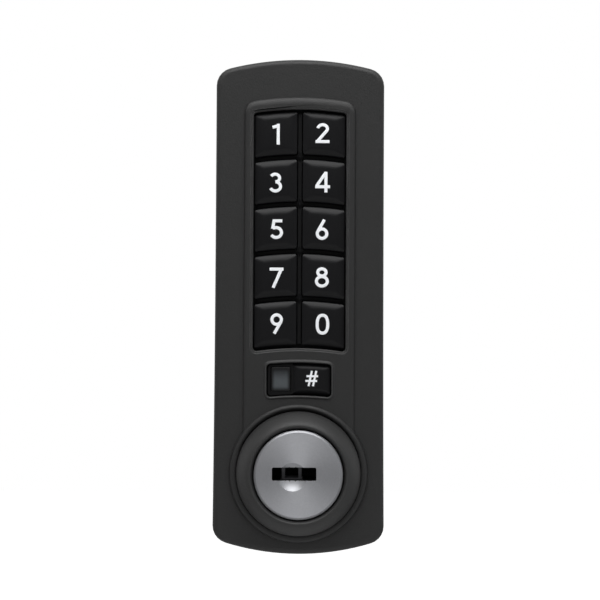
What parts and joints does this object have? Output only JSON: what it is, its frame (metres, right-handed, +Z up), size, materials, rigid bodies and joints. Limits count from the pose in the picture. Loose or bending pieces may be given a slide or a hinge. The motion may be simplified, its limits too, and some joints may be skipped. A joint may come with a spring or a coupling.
{
  "type": "electronic cabinet lock",
  "caption": "Upright keypad lock for a cabinet door: number keys and a signal light over a turning knob that holds a key cylinder, with a threaded barrel and a cam behind the door.",
  "frame": {"origin": "middle of the case's height and width, on the gasket's back face, where the lock meets the door", "axes": "+Z up, -Y out of the lock's front, +Y into the cabinet through the door, +X to the right from the front"},
  "size_m": [0.0434, 0.0641, 0.1256],
  "materials": {
    "charcoal_paint": "fine-textured satin charcoal paint",
    "black_plastic": "satin black",
    "smoky_lens": "smoky translucent grey",
    "lamp_clear": "clear lamp body",
    "grey_rubber": "dark grey, matt",
    "board_green": "green board lacquer",
    "chip_black": "moulded black",
    "satin_nickel": "satin nickel, turned",
    "zinc_plate": "bright zinc plate",
    "brass": "turned brass",
    "copper_winding": "lacquered copper wire",
    "cell_wrap": "dark blue sleeve"
  },
  "bodies": {
    "case": {"front_housing": "charcoal_paint", "keypad_frame": "black_plastic", "status_bezel": "black_plastic", "battery_holder": "black_plastic", "status_lens": "smoky_lens", "status_led": "lamp_clear", "keypad_mat": "grey_rubber", "door_gasket": "grey_rubber", "circuit_board": "board_green", "controller_chip": "chip_black", "buzzer": "chip_black", "contact_plus": "satin_nickel", "contact_minus": "satin_nickel", "contact_bridge": "satin_nickel", "back_plate": "zinc_plate", "solenoid_frame": "zinc_plate", "barrel": "zinc_plate", "barrel_washer": "zinc_plate", "barrel_nut": "zinc_plate", "fixing_bolt": "zinc_plate", "fixing_washer": "zinc_plate", "case_screw_1": "zinc_plate", "case_screw_2": "zinc_plate", "case_screw_3": "zinc_plate", "case_screw_4": "zinc_plate", "board_screw_1": "zinc_plate", "board_screw_2": "zinc_plate", "board_screw_3": "zinc_plate", "board_screw_4": "zinc_plate", "solenoid_coil": "copper_winding", "battery_1": "cell_wrap", "battery_2": "cell_wrap"},
    "knob": {"knob_ring": "charcoal_paint", "lock_disc": "zinc_plate", "knob_clip": "zinc_plate", "cylinder_shell": "brass"},
    "key_cylinder": {"key_plug": "satin_nickel", "tumbler_1": "brass", "tumbler_2": "brass", "tumbler_3": "brass", "tumbler_4": "brass", "cam": "zinc_plate", "cam_washer": "zinc_plate", "cam_screw": "zinc_plate"},
    "plunger": {"lock_plunger": "zinc_plate"},
    "key_1_body": {"key_1": "black_plastic"},
    "key_2_body": {"key_2": "black_plastic"},
    "key_3_body": {"key_3": "black_plastic"},
    "key_4_body": {"key_4": "black_plastic"},
    "key_5_body": {"key_5": "black_plastic"},
    "key_6_body": {"key_6": "black_plastic"},
    "key_7_body": {"key_7": "black_plastic"},
    "key_8_body": {"key_8": "black_plastic"},
    "key_9_body": {"key_9": "black_plastic"},
    "key_0_body": {"key_0": "black_plastic"},
    "hash_key_body": {"hash_key": "black_plastic"}
  },
  "joints": [
    {"name": "knob_turn", "type": "hinge", "parent": "case", "child": "knob", "pos_m": [0, 0, -0.04233], "axis": [0, 1, 0], "range_deg": [0, 90]},
    {"name": "key_turn", "type": "hinge", "parent": "knob", "child": "key_cylinder", "pos_m": [0, 0, -0.04233], "axis": [0, 1, 0], "range_deg": [0, 90]},
    {"name": "plunger_slide", "type": "slide", "parent": "case", "child": "plunger", "axis": [0, 0, -1], "range_m": [0, 0.003]},
    {"name": "key_1_press", "type": "slide", "parent": "case", "child": "key_1_body", "axis": [0, 1, 0], "range_m": [0, 0.0008], "stiffness_N_per_m": 1500},
    {"name": "key_2_press", "type": "slide", "parent": "case", "child": "key_2_body", "axis": [0, 1, 0], "range_m": [0, 0.0008], "stiffness_N_per_m": 1500},
    {"name": "key_3_press", "type": "slide", "parent": "case", "child": "key_3_body", "axis": [0, 1, 0], "range_m": [0, 0.0008], "stiffness_N_per_m": 1500},
    {"name": "key_4_press", "type": "slide", "parent": "case", "child": "key_4_body", "axis": [0, 1, 0], "range_m": [0, 0.0008], "stiffness_N_per_m": 1500},
    {"name": "key_5_press", "type": "slide", "parent": "case", "child": "key_5_body", "axis": [0, 1, 0], "range_m": [0, 0.0008], "stiffness_N_per_m": 1500},
    {"name": "key_6_press", "type": "slide", "parent": "case", "child": "key_6_body", "axis": [0, 1, 0], "range_m": [0, 0.0008], "stiffness_N_per_m": 1500},
    {"name": "key_7_press", "type": "slide", "parent": "case", "child": "key_7_body", "axis": [0, 1, 0], "range_m": [0, 0.0008], "stiffness_N_per_m": 1500},
    {"name": "key_8_press", "type": "slide", "parent": "case", "child": "key_8_body", "axis": [0, 1, 0], "range_m": [0, 0.0008], "stiffness_N_per_m": 1500},
    {"name": "key_9_press", "type": "slide", "parent": "case", "child": "key_9_body", "axis": [0, 1, 0], "range_m": [0, 0.0008], "stiffness_N_per_m": 1500},
    {"name": "key_0_press", "type": "slide", "parent": "case", "child": "key_0_body", "axis": [0, 1, 0], "range_m": [0, 0.0008], "stiffness_N_per_m": 1500},
    {"name": "hash_key_press", "type": "slide", "parent": "case", "child": "hash_key_body", "axis": [0, 1, 0], "range_m": [0, 0.0008], "stiffness_N_per_m": 1500}
  ]
}
